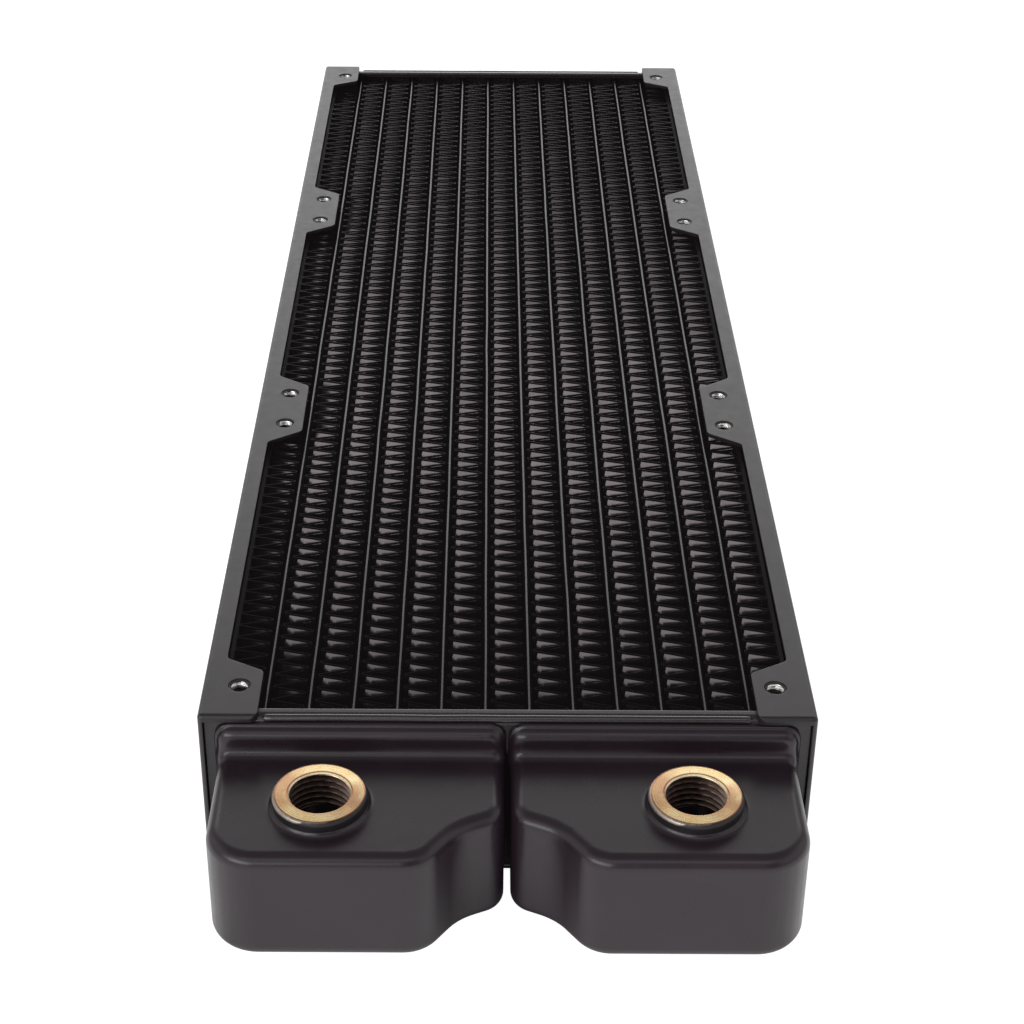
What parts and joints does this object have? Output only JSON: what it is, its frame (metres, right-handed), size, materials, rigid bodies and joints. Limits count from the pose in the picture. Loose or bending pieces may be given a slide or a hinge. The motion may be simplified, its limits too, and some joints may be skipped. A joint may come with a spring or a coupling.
{
  "type": "liquid cooling radiator",
  "caption": "Long black liquid cooling radiator with folded side frames, wavy fin core, two threaded brass ports on split front tanks and a rear return tank.",
  "frame": {"origin": "centre of the middle fan hole pattern on the underside fan face", "axes": "+X across the radiator, +Y along its length away from the ports, +Z out of the upper fan face, the side the ports open to"},
  "size_m": [0.1194, 0.4089, 0.04],
  "materials": {
    "frame_black": "satin black powder coat",
    "header_black": "satin black paint",
    "tank_black": "satin black paint over brass",
    "tube_black": "thin black paint over brass tube",
    "fin_black": "thin semi-gloss black paint over copper fin",
    "core_black": "black paint",
    "port_brass": "turned bare brass face, black painted side",
    "nut_steel": "plated steel thread, black painted top"
  },
  "bodies": {
    "root": {"core_side_plate_left": "core_black", "core_side_plate_right": "core_black", "fan_nuts_bottom": "nut_steel", "fan_nuts_top": "nut_steel", "fin_strip_01": "fin_black", "fin_strip_02": "fin_black", "fin_strip_03": "fin_black", "fin_strip_04": "fin_black", "fin_strip_05": "fin_black", "fin_strip_06": "fin_black", "fin_strip_07": "fin_black", "fin_strip_08": "fin_black", "fin_strip_09": "fin_black", "fin_strip_10": "fin_black", "fin_strip_11": "fin_black", "fin_strip_12": "fin_black", "fin_strip_13": "fin_black", "flat_tube_lower_01": "tube_black", "flat_tube_lower_02": "tube_black", "flat_tube_lower_03": "tube_black", "flat_tube_lower_04": "tube_black", "flat_tube_lower_05": "tube_black", "flat_tube_lower_06": "tube_black", "flat_tube_lower_07": "tube_black", "flat_tube_lower_08": "tube_black", "flat_tube_lower_09": "tube_black", "flat_tube_lower_10": "tube_black", "flat_tube_lower_11": "tube_black", "flat_tube_lower_12": "tube_black", "flat_tube_upper_01": "tube_black", "flat_tube_upper_02": "tube_black", "flat_tube_upper_03": "tube_black", "flat_tube_upper_04": "tube_black", "flat_tube_upper_05": "tube_black", "flat_tube_upper_06": "tube_black", "flat_tube_upper_07": "tube_black", "flat_tube_upper_08": "tube_black", "flat_tube_upper_09": "tube_black", "flat_tube_upper_10": "tube_black", "flat_tube_upper_11": "tube_black", "flat_tube_upper_12": "tube_black", "header_plate_front": "header_black", "header_plate_rear": "header_black", "inlet_tank": "tank_black", "outlet_tank": "tank_black", "port_collar_inlet": "port_brass", "port_collar_outlet": "port_brass", "return_tank": "tank_black", "side_frame_left": "frame_black", "side_frame_right": "frame_black"}
  },
  "joints": []
}
